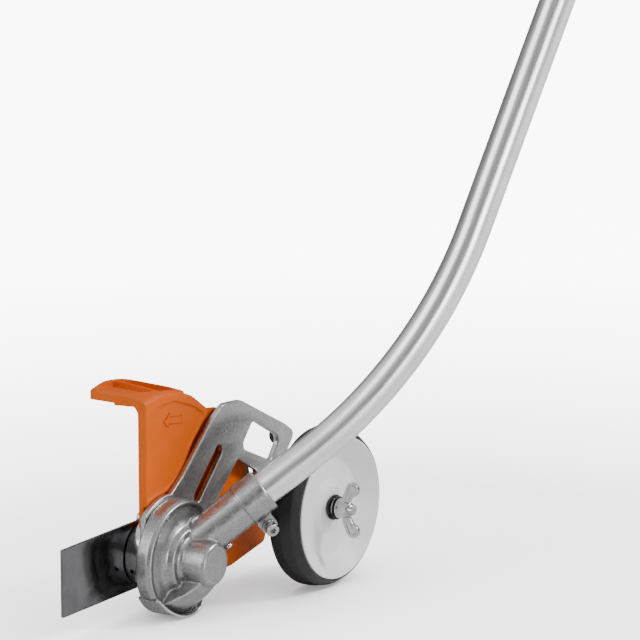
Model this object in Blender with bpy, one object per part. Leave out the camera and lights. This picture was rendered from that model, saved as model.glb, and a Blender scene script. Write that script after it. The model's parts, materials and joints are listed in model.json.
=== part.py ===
"""Curved-shaft lawn edger attachment, built as separate pieces.

Frame, in metres: +X along the blade's spindle, from the blade towards the gearbox
boss; -Y is the way it travels; +Z is up. The origin is on the ground under the
middle of the machine's box. Sizes below are in millimetres, and each piece is drawn
in the local frame of its own axis, where (u, v, w) has w along that axis. About the
spindle and the wheel (u, v, w) is (y, z, x), counted from the centre of the blade.
"""
import math

import bmesh
import bpy
from mathutils import Matrix, Vector

MM = 0.001
GAP = 0.3                                   # clearance between neighbouring pieces

# ---------------------------------------------------------------- driving sizes
GROUND_CLEARANCE = 42.5                     # spindle height above the ground
MACHINE_OFFSET = (-120.9, -127.9)           # blade centre from the middle of the box

BLADE_LENGTH, BLADE_WIDTH, BLADE_THICKNESS = 203.2, 50.8, 2.4
TUBE_OD, TUBE_WALL = 25.4, 1.5

APEX = 30.8                                 # where the input axis meets the spindle
INPUT_DIRECTION = Vector((0.584, 0.550, 0.597)).normalized()
BEND_SIDE = Vector((0.618, 0.179, -0.765))  # outside of the bend, before squaring up
CLAMP_ROLL = 18.0                           # clamp lug's turn from straight below
STRAIGHT_LOWER, BEND_RADIUS, BEND_ANGLE, STRAIGHT_UPPER = 124.0, 373.0, 31.85, 480.0

DRUM_RADIUS, DRUM_BACK = 43.8, 24.0
SOCKET_RADIUS, CLAMP_RADIUS = 15.5, 16.4
CLAMP_START, SOCKET_END = 61.5, 82.0
CLAMP_SCREW_AT, CLAMP_SCREW_OUT = 67.7, 21.5
RETAINER_AT = 35.0                          # screw between the two pinion bearings

PINION_TEETH, GEAR_TEETH = 12, 17
CONE_DISTANCE, FACE_WIDTH = 23.0, 7.0

BRACKET_BACK, BRACKET_FRONT = 19.0, 23.5
GUARD_BACK, GUARD_WEB, GUARD_FRONT = 11.0, 15.3, 18.3
GUARD_RADIUS, COVER_RADIUS, COVER_WALL = 122.0, 124.0, 5.0
COLLAR_RADIUS = 25.0

# Screws are placed in degrees about their own circle; 0 points back, 90 up.
SCREW_CIRCLE = 34.5
GUARD_SCREWS = {"guard_screw_1": 116.0, "guard_screw_2": 66.0, "guard_screw_3": -12.0}
BRACKET_SCREWS = {"bracket_screw_1": -40.0, "bracket_screw_2": -105.0}
RIVET_CIRCLE = 116.0
SKIRT_RIVETS = {"skirt_rivet_1": 32.0, "skirt_rivet_2": 9.0}
SKID_SCREWS = {"skid_screw_1": 26.0, "skid_screw_2": 34.0}    # places along the spindle
SKID_SCREW_ANGLE = 27.0                     # behind the lowest point
BUFFER_PLACE = (152.0, 58.0)

SKID_RADIUS, SKID_SHEET = 42.5, 2.0
WHEEL_Y, WHEEL_Z, WHEEL_RADIUS = 124.0, 18.0, 60.5
AXLE_TRAVEL = 25.0                          # the wheel slides this far down its slot
ARM_BACK, ARM_FRONT = 44.0, 49.0


# ---------------------------------------------------------------- building tools
def material(name, colour, roughness, metallic=0.0):
    made = bpy.data.materials.new(name)
    made.use_nodes = True
    shader = made.node_tree.nodes["Principled BSDF"]
    shader.inputs["Base Color"].default_value = (*colour, 1.0)
    shader.inputs["Roughness"].default_value = roughness
    shader.inputs["Metallic"].default_value = metallic
    return made


def axis_frame(name, origin, along, first=None, parent=None):
    """An empty whose local Z runs along an axis; origin is in millimetres."""
    w = Vector(along).normalized()
    u = Vector(first) if first else Vector((0.0, 1.0, 0.0))
    u = (u - w * u.dot(w)).normalized()
    v = w.cross(u)
    empty = bpy.data.objects.new(name, None)
    bpy.context.scene.collection.objects.link(empty)
    turn = Matrix((u, v, w)).transposed().to_4x4()
    empty.parent = parent
    empty.matrix_local = Matrix.Translation(Vector(origin) * MM) @ turn
    return empty


def finish(name, shape, finish_material, frame):
    """Turn a bmesh drawn in millimetres into a named object in its frame."""
    bmesh.ops.recalc_face_normals(shape, faces=shape.faces)
    bmesh.ops.scale(shape, vec=(MM, MM, MM), verts=shape.verts)
    mesh = bpy.data.meshes.new(name)
    shape.to_mesh(mesh)
    shape.free()
    mesh.shade_smooth()
    mesh.set_sharp_from_angle(angle=math.radians(35.0))
    piece = bpy.data.objects.new(name, mesh)
    bpy.context.scene.collection.objects.link(piece)
    piece.parent = frame
    if finish_material:
        mesh.materials.append(finish_material)
    return piece


def cutter(piece):
    piece.hide_render = True
    piece.display_type = "WIRE"
    return piece


def combine(piece, other, operation="DIFFERENCE"):
    cutter(other)
    step = piece.modifiers.new(other.name, "BOOLEAN")
    step.operation = operation
    step.object = other
    return piece


def turned(name, outline, finish_material, frame, steps=32):
    """A solid of revolution about the frame's axis, from (radius, w) points."""
    shape = bmesh.new()
    points = [shape.verts.new((radius, 0.0, w)) for radius, w in outline]
    pairs = list(zip(points, points[1:] + points[:1]))
    edges = [shape.edges.new(pair) for pair in pairs
             if max(pair[0].co.x, pair[1].co.x) > 0.0]
    bmesh.ops.spin(shape, geom=points + edges, cent=(0, 0, 0), axis=(0, 0, 1),
                   angle=math.tau, steps=steps, use_merge=True)
    bmesh.ops.remove_doubles(shape, verts=shape.verts, dist=0.001)
    return finish(name, shape, finish_material, frame)


def ring(name, inner, outer, low, high, finish_material, frame, steps=18):
    outline = [(inner, low), (outer, low), (outer, high), (inner, high)]
    return turned(name, outline, finish_material, frame, steps)


def plate(name, outline, low, high, finish_material, frame, holes=()):
    """An outline with holes, drawn in u and v, given its thickness along w."""
    shape = bmesh.new()
    edges = []
    for loop in (outline, *holes):
        corners = [shape.verts.new((u, v, low)) for u, v in loop]
        edges += [shape.edges.new(pair)
                  for pair in zip(corners, corners[1:] + corners[:1])]
    bmesh.ops.triangle_fill(shape, edges=edges, use_beauty=True)
    lifted = bmesh.ops.extrude_face_region(shape, geom=shape.faces[:])["geom"]
    top = [item for item in lifted if isinstance(item, bmesh.types.BMVert)]
    bmesh.ops.translate(shape, verts=top, vec=(0.0, 0.0, high - low))
    return finish(name, shape, finish_material, frame)


def skin(name, sections, finish_material, frame, closed=False):
    """Bridge matching loops of points into one closed body."""
    shape = bmesh.new()
    loops = [[shape.verts.new(point) for point in section] for section in sections]
    joins = list(zip(loops, loops[1:])) + ([(loops[-1], loops[0])] if closed else [])
    for near, far in joins:
        for i in range(len(near)):
            j = (i + 1) % len(near)
            shape.faces.new((near[i], near[j], far[j], far[i]))
    if not closed:
        shape.faces.new(loops[0])
        shape.faces.new(loops[-1])
    return finish(name, shape, finish_material, frame)


def arc(radius, start, end, steps, centre=(0.0, 0.0)):
    angles = [math.radians(start + (end - start) * i / steps) for i in range(steps + 1)]
    return [(centre[0] + radius * math.cos(a), centre[1] + radius * math.sin(a))
            for a in angles]


def circle(radius, centre=(0.0, 0.0), steps=16):
    return arc(radius, 0.0, 360.0, steps, centre)[:-1]


def rounded(corners, steps=3):
    """An outline through (u, v) or (u, v, radius) corners, with arcs at the latter."""
    points = []
    for i, corner in enumerate(corners):
        here = Vector(corner[:2])
        if len(corner) == 2:
            points.append(tuple(here))
            continue
        back = (Vector(corners[i - 1][:2]) - here).normalized()
        ahead = (Vector(corners[(i + 1) % len(corners)][:2]) - here).normalized()
        half = back.angle(ahead) / 2.0
        middle = here + (back + ahead).normalized() * corner[2] / math.sin(half)
        first = here + back * corner[2] / math.tan(half) - middle
        last = here + ahead * corner[2] / math.tan(half) - middle
        for step in range(steps + 1):
            spoke = first.lerp(last, step / steps).normalized() * corner[2]
            points.append(tuple(middle + spoke))
    return points


def slot_outline(start, end, width, steps=5):
    """A round-ended slot between two centres."""
    heading = math.degrees(math.atan2(end[1] - start[1], end[0] - start[0]))
    return (arc(width / 2, heading - 90, heading + 90, steps, end)
            + arc(width / 2, heading + 90, heading + 270, steps, start))


def screw(name, frame, radius, head_radius, tip, seat, head_height, finish_material):
    """A plain screw with its head outside the seat, along the frame's w."""
    side = 1.0 if seat > tip else -1.0
    neck = seat + side * GAP
    top = neck + side * head_height
    outline = [(0.0, tip), (radius, tip), (radius, neck), (head_radius, neck),
               (head_radius, top - side * 0.8), (head_radius - 0.8, top), (0.0, top)]
    return turned(name, outline, finish_material, frame, 10)


# ---------------------------------------------------------------- tube centreline
def bend_frame():
    """Start direction, inward direction and normal of the tube's bend."""
    ahead = INPUT_DIRECTION
    inward = -(BEND_SIDE - ahead * BEND_SIDE.dot(ahead)).normalized()
    return ahead, inward, ahead.cross(inward)


def tube_point(distance):
    """Position and heading of the centreline, from the apex, in millimetres."""
    ahead, inward, _ = bend_frame()
    start = Vector((APEX, 0.0, 0.0)) + ahead * min(distance, STRAIGHT_LOWER)
    sweep = math.radians(BEND_ANGLE)
    turn = min(max(distance - STRAIGHT_LOWER, 0.0) / BEND_RADIUS, sweep)
    heading = ahead * math.cos(turn) + inward * math.sin(turn)
    start += BEND_RADIUS * (ahead * math.sin(turn) + inward * (1.0 - math.cos(turn)))
    beyond = max(distance - STRAIGHT_LOWER - BEND_RADIUS * sweep, 0.0)
    return start + heading * beyond, heading


BEND_END = STRAIGHT_LOWER + BEND_RADIUS * math.radians(BEND_ANGLE)
TUBE_START, TUBE_END = 50.0, BEND_END + STRAIGHT_UPPER


def stations(start, end, bend_steps):
    """Distances along the tube that carry a section."""
    inside = [STRAIGHT_LOWER + (BEND_END - STRAIGHT_LOWER) * i / bend_steps
              for i in range(bend_steps + 1)]
    return [start] + [d for d in inside if start + 1.0 < d < end - 1.0] + [end]


def swept(name, start, end, radius, finish_material, frame, hole=0.0, sides=24,
          bend_steps=12):
    """A round bar or pipe along the tube's centreline."""
    normal = bend_frame()[2]
    rings = []
    for distance in stations(start, end, bend_steps):
        centre, heading = tube_point(distance)
        side = normal.cross(heading)
        spokes = [normal * math.cos(math.tau * i / sides)
                  + side * math.sin(math.tau * i / sides) for i in range(sides)]
        rings.append([(centre + spoke * radius, centre + spoke * hole)
                      for spoke in spokes])
    outside = [[point[0] for point in section] for section in rings]
    if not hole:
        return skin(name, outside, finish_material, frame)
    bore = [[point[1] for point in section] for section in reversed(rings)]
    return skin(name, outside + bore, finish_material, frame, closed=True)


# ---------------------------------------------------------------- bevel gears
def pitch_angles():
    shaft_angle = math.acos(INPUT_DIRECTION.x)
    ratio = GEAR_TEETH / PINION_TEETH
    pinion = math.atan(math.sin(shaft_angle) / (ratio + math.cos(shaft_angle)))
    return pinion, shaft_angle - pinion


def bevel_teeth(teeth, pitch_angle, phase, cone_distance):
    """One loop of tooth corners at a distance from the gears' common apex."""
    module = 2.0 * CONE_DISTANCE * math.sin(pitch_angle) / teeth
    tip = pitch_angle + math.atan(0.8 * module / CONE_DISTANCE)
    root = pitch_angle - math.atan(1.1 * module / CONE_DISTANCE)
    corners = []
    for tooth in range(teeth):
        for share, cone in ((-0.27, root), (-0.10, tip), (0.10, tip), (0.27, root)):
            turn = phase + math.tau * (tooth + share) / teeth
            radius = cone_distance * math.sin(cone)
            corners.append((radius * math.cos(turn), radius * math.sin(turn),
                            cone_distance * math.cos(cone)))
    return corners


def round_loop(like, radius, w):
    """A loop of one radius, with a corner beside each corner of another loop."""
    loop = []
    for corner in like:
        turn = math.atan2(corner[1], corner[0])
        loop.append((radius * math.cos(turn), radius * math.sin(turn), w))
    return loop


# ---------------------------------------------------------------- the machine
def machine_frames():
    root = axis_frame("edger", (MACHINE_OFFSET[0], MACHINE_OFFSET[1], GROUND_CLEARANCE),
                      (0, 0, 1), first=(1, 0, 0))
    below = Vector((0, 0, -1))
    below = (below - INPUT_DIRECTION * below.dot(INPUT_DIRECTION)).normalized()
    lug = Matrix.Rotation(math.radians(CLAMP_ROLL), 3, INPUT_DIRECTION) @ below
    top, heading = tube_point(TUBE_END)
    frames = {
        "root": root,
        "spindle": axis_frame("spindle_axis", (0, 0, 0), (1, 0, 0), parent=root),
        "wheel": axis_frame("wheel_axis", (0, WHEEL_Y, WHEEL_Z), (1, 0, 0), parent=root),
        "input": axis_frame("input_axis", (APEX, 0, 0), INPUT_DIRECTION, lug, root),
        "upper": axis_frame("upper_axis", top, heading, (1, 0, 0), root),
    }
    clamp = Vector((APEX, 0, 0)) + INPUT_DIRECTION * CLAMP_SCREW_AT + lug * CLAMP_SCREW_OUT
    across = lug.cross(INPUT_DIRECTION)
    frames["clamp"] = axis_frame("clamp_axis", clamp, across, lug, root)
    retainer = Vector((APEX, 0, 0)) + INPUT_DIRECTION * RETAINER_AT
    frames["retainer"] = axis_frame("retainer_axis", retainer, lug * 0.82 + across * 0.57,
                                    INPUT_DIRECTION, root)
    tilt = math.radians(SKID_SCREW_ANGLE)
    for name, w in SKID_SCREWS.items():
        frames[name] = axis_frame(name + "_axis", (w, 0, 0),
                                  (0, math.sin(tilt), -math.cos(tilt)), (1, 0, 0), root)
    return frames


def on_circle(angle, radius=SCREW_CIRCLE):
    return radius * math.cos(math.radians(angle)), radius * math.sin(math.radians(angle))


def skid_sector(inner, outer, front, rear):
    """A sector under the spindle, front and rear in degrees from straight down."""
    return (arc(outer, -90 - front, -90 + rear, 8)
            + arc(inner, -90 + rear, -90 - front, 8))


def build_housing(frames, cast):
    spindle, inlet, clamp = frames["spindle"], frames["input"], frames["clamp"]
    drum = [(0, 19), (17.4, 19), (17.4, DRUM_BACK), (DRUM_RADIUS, DRUM_BACK),
            (DRUM_RADIUS, 34.5), (41.6, 36.4), (29, 39.8), (18, 43), (16.6, 63),
            (13.5, 66), (0, 66)]
    housing = turned("gearbox_housing", drum, cast, spindle, 32)
    socket = turned("socket_outside",
                    [(0, 6), (SOCKET_RADIUS, 6), (SOCKET_RADIUS, CLAMP_START),
                     (CLAMP_RADIUS, CLAMP_START + 0.6), (CLAMP_RADIUS, SOCKET_END),
                     (0, SOCKET_END)], None, inlet, 28)
    combine(housing, socket, "UNION")
    ears = plate("clamp_ears", arc(6.5, -90, 90, 8) + [(-9, 6.5), (-9, -6.5)], -11, 11,
                 None, clamp)
    combine(housing, ears, "UNION")
    fairing = skin("fairing", [
        [(r * math.cos(a), r * math.sin(a), w) for r, w in
         ((13, 36), (41, 36), (30, 46), (20.5, 58), (13, 61))]
        for a in [math.radians(-132 + 87 * i / 6) for i in range(7)]], None, spindle)
    combine(housing, fairing, "UNION")

    bore = turned("spindle_bore",
                  [(0, 18), (14.3, 18), (14.3, 23.3), (15.4, 23.3), (15.4, 25),
                   (14.3, 25), (14.3, 33.6), (13.7, 33.6), (13.7, 53.2), (11.3, 53.2),
                   (11.3, 61.4), (0, 61.4)], None, spindle, 28)
    combine(housing, bore)
    pinion_room = turned("pinion_room",
                         [(0, 13.4), (7.4, 13.4), (10.4, 20.9), (10.4, 23), (13.3, 23),
                          (13.3, 46.8), (14.2, 46.8), (14.2, 48.4), (13.3, 48.4),
                          (13.3, 84), (0, 84)], None, inlet, 26)
    combine(housing, pinion_room)
    bosses = [circle(5.0, on_circle(angle), 8)
              for angle in (*GUARD_SCREWS.values(), *BRACKET_SCREWS.values())]
    hollow = plate("drum_hollow", circle(40.2, steps=28), 23, 31.5, None, spindle,
                   [circle(19.6, steps=24)] + bosses)
    combine(housing, hollow)
    for name, angle in {**GUARD_SCREWS, **BRACKET_SCREWS}.items():
        combine(housing, plate(name + "_hole", circle(2.8, on_circle(angle), 8),
                               22, 33.5, None, spindle))
    seat = plate("skid_seat", skid_sector(SKID_RADIUS - SKID_SHEET - GAP, 50, 60, 37),
                 15, 50, None, spindle)
    combine(housing, seat)
    for name in SKID_SCREWS:
        combine(housing, turned(name + "_hole", [(0, 33), (2.3, 33), (2.3, 44), (0, 44)],
                                None, frames[name], 8))
    slit = plate("clamp_slit", [(-16, -6.9), (9, -6.9), (9, 16), (-16, 16)], -1, 1,
                 None, clamp)
    combine(housing, slit)
    combine(housing, turned("clamp_hole", [(0, -12), (3.3, -12), (3.3, 12), (0, 12)],
                            None, clamp, 16))
    combine(housing, turned("retainer_hole", [(0, 10), (2.4, 10), (2.4, 18), (0, 18)],
                            None, frames["retainer"], 8))


def build_skid(frames, steel, zinc):
    spindle = frames["spindle"]
    skid = plate("skid_shoe", skid_sector(SKID_RADIUS - SKID_SHEET, SKID_RADIUS, 56, 33),
                 20, 45, steel, spindle)
    corner = axis_frame("skid_corner", (0, 0, 0), (0, 0, 1), (1, 0, 0), frames["root"])
    combine(skid, plate("skid_corner_cut", [(46, 12), (46, 30), (36, 26), (44.5, 12)],
                        -50, -20, None, corner))
    for name in SKID_SCREWS:
        clearance = [(0, 38), (2.6, 38), (2.6, 46), (0, 46)]
        combine(skid, turned(name + "_clearance", clearance, None, frames[name], 8))
        screw(name, frames[name], 2.0, 3.6, 34.5, SKID_RADIUS, 1.6, zinc)


def build_spindle_pieces(frames, mats):
    spindle = frames["spindle"]
    half = BLADE_THICKNESS / 2
    edge = COLLAR_RADIUS - 0.7
    blade_outline = rounded([(-BLADE_LENGTH / 2, -BLADE_WIDTH / 2, 0.6),
                             (BLADE_LENGTH / 2, -BLADE_WIDTH / 2, 0.6),
                             (BLADE_LENGTH / 2, BLADE_WIDTH / 2, 0.6),
                             (-BLADE_LENGTH / 2, BLADE_WIDTH / 2, 0.6)], 2)
    plate("edger_blade", blade_outline, -half, half, mats["blade"], spindle,
          [circle(12.9, steps=24)])
    turned("output_shaft",
           [(0, -12.5), (3.4, -12.5), (4, -11.8), (4, 1.2), (6, 1.2), (6, 53.5),
            (4, 53.5), (4, 60.8), (0, 60.8)], mats["steel"], spindle, 18)
    turned("blade_carrier",
           [(4.4, -0.9), (12.6, -0.9), (12.6, half + GAP), (edge, half + GAP),
            (COLLAR_RADIUS, 2.2), (COLLAR_RADIUS, 11.9), (edge, 12.6), (6.3, 12.6),
            (6.3, 0.9), (4.4, 0.9)],
           mats["steel"], spindle, 28)
    turned("thrust_plate",
           [(6.3, 12.9), (edge, 12.9), (COLLAR_RADIUS, 13.6), (COLLAR_RADIUS, 22.6),
            (edge, 23.3), (18.3, 23.3), (18.3, 18.6), (6.3, 18.6)],
           mats["steel"], spindle, 28)
    for name, w in (("blade_carrier", 7.2), ("thrust_plate", 18.0)):
        hole = axis_frame(name + "_hole_axis", (w, 0, 0), (0, -0.94, -0.34), (1, 0, 0),
                          frames["root"])
        combine(bpy.data.objects[name],
                turned(name + "_pin_hole", [(0, 16), (1.9, 16), (1.9, 27), (0, 27)],
                       None, hole, 8))
    turned("clamp_washer",
           [(4.4, -4.6), (13.5, -4.6), (16.5, -3.4), (16.5, -half - GAP),
            (4.4, -half - GAP)], mats["zinc"], spindle, 20)
    plate("blade_nut", circle(7.5, steps=6), -11.4, -4.9, mats["zinc"], spindle,
          [circle(4.4, steps=12)])
    turned("gear_spacer", [(6.3, 33.7), (7.6, 33.7), (7.6, 43.2), (6.3, 43.2)],
           mats["steel"], spindle, 18)
    ring("spindle_bearing_large", 6.4, 14.0, 25.2, 33.3, mats["bearing"], spindle, 24)
    ring("spindle_bearing_small", 4.4, 11.0, 53.8, 60.8, mats["bearing"], spindle)
    ring("spindle_seal", 6.5, 14.0, 19.4, 23.0, mats["rubber"], spindle)
    ring("spindle_circlip", 12.4, 15.0, 23.6, 24.7, mats["steel"], spindle)


def build_gears(frames, mats):
    pinion_angle, gear_angle = pitch_angles()
    small, large = CONE_DISTANCE - FACE_WIDTH, CONE_DISTANCE
    phase = math.atan2(INPUT_DIRECTION.z, INPUT_DIRECTION.y)
    inner = bevel_teeth(GEAR_TEETH, gear_angle, phase, small)
    outer = bevel_teeth(GEAR_TEETH, gear_angle, phase, large)
    loops = [round_loop(inner, 6.3, 12.8), inner, outer, round_loop(outer, 6.3, 21.9)]
    shift = Matrix.Translation((0, 0, APEX))
    loops = [[shift @ Vector(corner) for corner in loop] for loop in loops]
    skin("driven_gear", loops, mats["steel"], frames["spindle"], closed=True)

    mesh_side = frames["input"].matrix_local.to_3x3().transposed() @ Vector((1, 0, 0))
    phase = math.atan2(mesh_side.y, mesh_side.x) + math.pi / PINION_TEETH
    inner = bevel_teeth(PINION_TEETH, pinion_angle, phase, small)
    outer = bevel_teeth(PINION_TEETH, pinion_angle, phase, large)
    loops = [round_loop(inner, 3.6, 14.6), inner, outer, round_loop(outer, 6.4, 22.6),
             round_loop(outer, 4.7, 22.6), round_loop(outer, 4.7, 58.0)]
    pinion = skin("bevel_pinion", loops, mats["steel"], frames["input"])
    combine(pinion, plate("pinion_square", [(-2.8, -2.8), (2.8, -2.8), (2.8, 2.8),
                                            (-2.8, 2.8)], 45, 60, None, frames["input"]))
    ring("pinion_bearing_inner", 5.0, 13.0, 23.4, 31.4, mats["bearing"], frames["input"])
    ring("pinion_bearing_outer", 5.0, 13.0, 38.5, 46.5, mats["bearing"], frames["input"])
    ring("pinion_circlip", 11.0, 13.9, 47.0, 48.2, mats["steel"], frames["input"])
    screw("bearing_retaining_screw", frames["retainer"], 2.0, 3.4, 11.2,
          SOCKET_RADIUS, 2.4, mats["zinc"])
    screw("clamp_screw", frames["clamp"], 3.0, 5.0, -10.5, 11.0, 5.4, mats["zinc"])


def build_drive_line(frames, mats):
    root = frames["root"]
    tube = swept("drive_tube", TUBE_START, TUBE_END, TUBE_OD / 2, mats["tube"], root,
                 TUBE_OD / 2 - TUBE_WALL, 22, 10)
    latch = axis_frame("latch_axis", tube_point(TUBE_END - 45.0)[0],
                       bend_frame()[1], (1, 0, 0), root)
    combine(tube, turned("latch_hole", [(0, 5), (4, 5), (4, 20), (0, 20)], None, latch, 10))
    swept("shaft_liner", 62.0, TUBE_END - 34.0, 7.0, mats["nylon"], root, 4.8, 8, 6)
    square = [(-2.4, -2.4), (2.4, -2.4), (2.4, 2.4), (-2.4, 2.4)]
    lower = turned("drive_shaft_lower",
                   [(0, 58.3), (3.6, 58.3), (3.6, STRAIGHT_LOWER - GAP),
                    (0, STRAIGHT_LOWER - GAP)], mats["steel"], frames["input"], 12)
    combine(lower, plate("drive_square", square, 46, 60, None, frames["input"]), "UNION")
    swept("drive_shaft_flexible", STRAIGHT_LOWER, BEND_END, 3.6, mats["steel"], root,
          sides=8, bend_steps=6)
    upper_length = STRAIGHT_UPPER - GAP
    upper = turned("drive_shaft_upper",
                   [(0, -upper_length), (3.6, -upper_length), (3.6, -28), (0, -28)],
                   mats["steel"], frames["upper"], 12)
    coupling = [(-3.0, -3.0), (3.0, -3.0), (3.0, 3.0), (-3.0, 3.0)]
    combine(upper, plate("coupling_square", coupling, -30, -6, None, frames["upper"]),
            "UNION")
    ring("coupling_bush", 4.6, 10.9, -33.5, -15, mats["nylon"], frames["upper"])


def bracket_outline():
    """Two rings about the spindle, the lower one smaller in front, then the plate."""
    lower_ring = arc(39.6, -14, -140, 12) + arc(36.0, -155, -212, 6)
    upper_ring = arc(46.5, 130, 84, 6)
    plate_edge = rounded([upper_ring[-1], (20, 56.5, 30), (58, 90, 30), (74, 99.5, 10),
                          (97, 97.5, 14), (157, 66, 14), (170, 57, 5), (141, 24, 10),
                          (112, 8, 20), lower_ring[0]], 4)
    return lower_ring + upper_ring + plate_edge[1:-1]


def build_bracket(frames, mats):
    spindle = frames["spindle"]
    window = rounded([(113, 78.5, 5), (145, 60, 5), (147, 55, 5), (137, 42, 4),
                      (101, 58.5, 5), (100, 64, 4)], 3)
    lightening = slot_outline((39, 37), (67, 64.5), 10)
    triangle = rounded([(92, 53, 3), (55, 19.5, 4), (110, 27, 3), (119, 37.5, 3)], 3)
    holes = [circle(26.5, steps=24), window, lightening, triangle,
             circle(2.4, BUFFER_PLACE, 12)]
    holes += [circle(2.8, on_circle(angle), 8)
              for angle in (*GUARD_SCREWS.values(), *BRACKET_SCREWS.values())]
    bracket = plate("wheel_bracket", bracket_outline(), BRACKET_BACK, BRACKET_FRONT,
                    mats["cast"], spindle, holes)
    step = plate("bracket_step", [(WHEEL_Y - 12, 22), (WHEEL_Y + 12, 22),
                                  (WHEEL_Y + 12, 35), (WHEEL_Y - 12, 35)],
                 BRACKET_BACK + 1, ARM_FRONT - 1, None, spindle)
    combine(bracket, step, "UNION")
    low, high = WHEEL_Z - AXLE_TRAVEL, WHEEL_Z
    arm = plate("axle_arm", slot_outline((WHEEL_Y, low), (WHEEL_Y, high + 8), 24, 8),
                ARM_BACK, ARM_FRONT, None, spindle)
    combine(bracket, arm, "UNION")
    combine(bracket, plate("axle_slot",
                           slot_outline((WHEEL_Y, low), (WHEEL_Y, high), 9.0, 8),
                           ARM_BACK - 2, ARM_FRONT + 2, None, spindle))
    head_room = plate("axle_head_room", [(WHEEL_Y - 9.5, low - 12), (WHEEL_Y + 9.5, low - 12),
                                         (WHEEL_Y + 9.5, high + 9.5),
                                         (WHEEL_Y - 9.5, high + 9.5)],
                      ARM_BACK - 8, ARM_BACK, None, spindle)
    combine(bracket, head_room)
    buffer_axis = axis_frame("buffer_axis", (0, *BUFFER_PLACE), (1, 0, 0),
                             parent=frames["root"])
    turned("bracket_buffer", [(0, 13.5), (5, 13.5), (6.5, 14.5), (6.5, 18.7), (2, 18.7),
                              (2, 24.5), (0, 24.5)], mats["rubber"], buffer_axis, 12)
    for name, angle in BRACKET_SCREWS.items():
        place = axis_frame(name + "_axis", (0, *on_circle(angle)), (1, 0, 0),
                           parent=frames["root"])
        screw(name, place, 2.5, 4.4, 32.5, BRACKET_BACK, 3.2, mats["zinc"])


def guard_outline():
    """Side panel: front edge, round top, rear edge beside the wheel, spindle notch."""
    top = arc(GUARD_RADIUS, 99.4, 80, 6)
    rear = rounded([top[-1], (40, 112.5, 30), (60, 97.5, 5), (80, 94.5, 8), (113, 47, 60), (132, -4, 40), (147, -22, 6), (92, -32, 30),
                    (44, -24, 10), (36, -18)], 4)
    return [(-20, 24)] + top + rear[1:] + arc(30.5, -12, 124, 12)


def build_guard(frames, mats):
    spindle = frames["spindle"]
    screws = [circle(2.8, on_circle(angle), 8) for angle in GUARD_SCREWS.values()]
    rivets = [circle(2.3, on_circle(angle, RIVET_CIRCLE), 8) for angle in SKIRT_RIVETS.values()]
    guard = plate("blade_guard", guard_outline(), GUARD_BACK, GUARD_FRONT,
                  mats["guard"], spindle, screws + rivets)
    relief = rounded([(-17, 42, 3), (-17, 112, 6), (12, 116, 30), (36, 107, 20), (58, 91, 8),
                      (78, 87, 8), (104, 42, 30), (118, 2, 20), (128, -14, 6), (92, -24, 20),
                      (52, -18, 8), (46, 12, 30), (8, 46, 30)], 3)
    combine(guard, plate("panel_relief", relief, GUARD_BACK - 1, GUARD_WEB, None, spindle))

    above = axis_frame("plan_axis", (0, 0, 0), (0, 0, 1), (1, 0, 0), frames["root"])
    cover = skin("cover_ring", [
        [(u, v, w) for u, v in arc(radius, 100, 62, 10) + arc(radius - COVER_WALL, 62, 100, 10)]
        for w, radius in ((-38, COVER_RADIUS), (-2, COVER_RADIUS - 1),
                          (GUARD_FRONT - 3, GUARD_RADIUS - 0.2))], None, spindle)
    plan = plate("cover_plan", rounded([(-32, -20.0, 3), (-36, 6, 14), (-35, 42, 14),
                                        (4, 42, 14), (14, 24, 10), (14, -20.0)], 3),
                 90, 130, None, above)
    combine(cover, plan, "INTERSECT")
    combine(guard, cover, "UNION")
    pockets = {"front_pocket": [(-27.5, -15, 3), (-30.5, 0, 6), (4, 0, 4), (4, -15, 3)],
               "rear_pocket": [(-31, 6, 3), (-30.5, 30, 10), (-8, 46, 6), (4, 30, 4),
                               (4, 6, 3)]}
    for name, corners in pockets.items():
        floor = plate(name, arc(COVER_RADIUS - 3.2, 102, 50, 12) + arc(132, 50, 102, 12),
                      -40, 20, None, spindle)
        combine(floor, plate(name + "_plan", rounded(corners), 80, 140, None, above),
                "INTERSECT")
        combine(guard, floor)
    for name, angle in GUARD_SCREWS.items():
        place = axis_frame(name + "_axis", (0, *on_circle(angle)), (1, 0, 0),
                           parent=frames["root"])
        screw(name, place, 2.5, 4.0, 32.5, GUARD_BACK, 3.0, mats["zinc"])


def build_skirt(frames, mats):
    spindle = frames["spindle"]
    holes = [circle(2.3, on_circle(angle, RIVET_CIRCLE), 8) for angle in SKIRT_RIVETS.values()]
    strip = arc(134, 38, 2, 8) + arc(110, 2, 38, 8)
    plate("rubber_skirt", strip, GUARD_BACK - 3.3, GUARD_BACK - 0.3, mats["rubber"],
          spindle, holes)
    for name, angle in SKIRT_RIVETS.items():
        place = axis_frame(name + "_axis", (0, *on_circle(angle, RIVET_CIRCLE)),
                           (1, 0, 0), parent=frames["root"])
        screw(name, place, 2.0, 4.0, GUARD_FRONT, GUARD_BACK - 3.3, 1.4, mats["zinc"])


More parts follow.
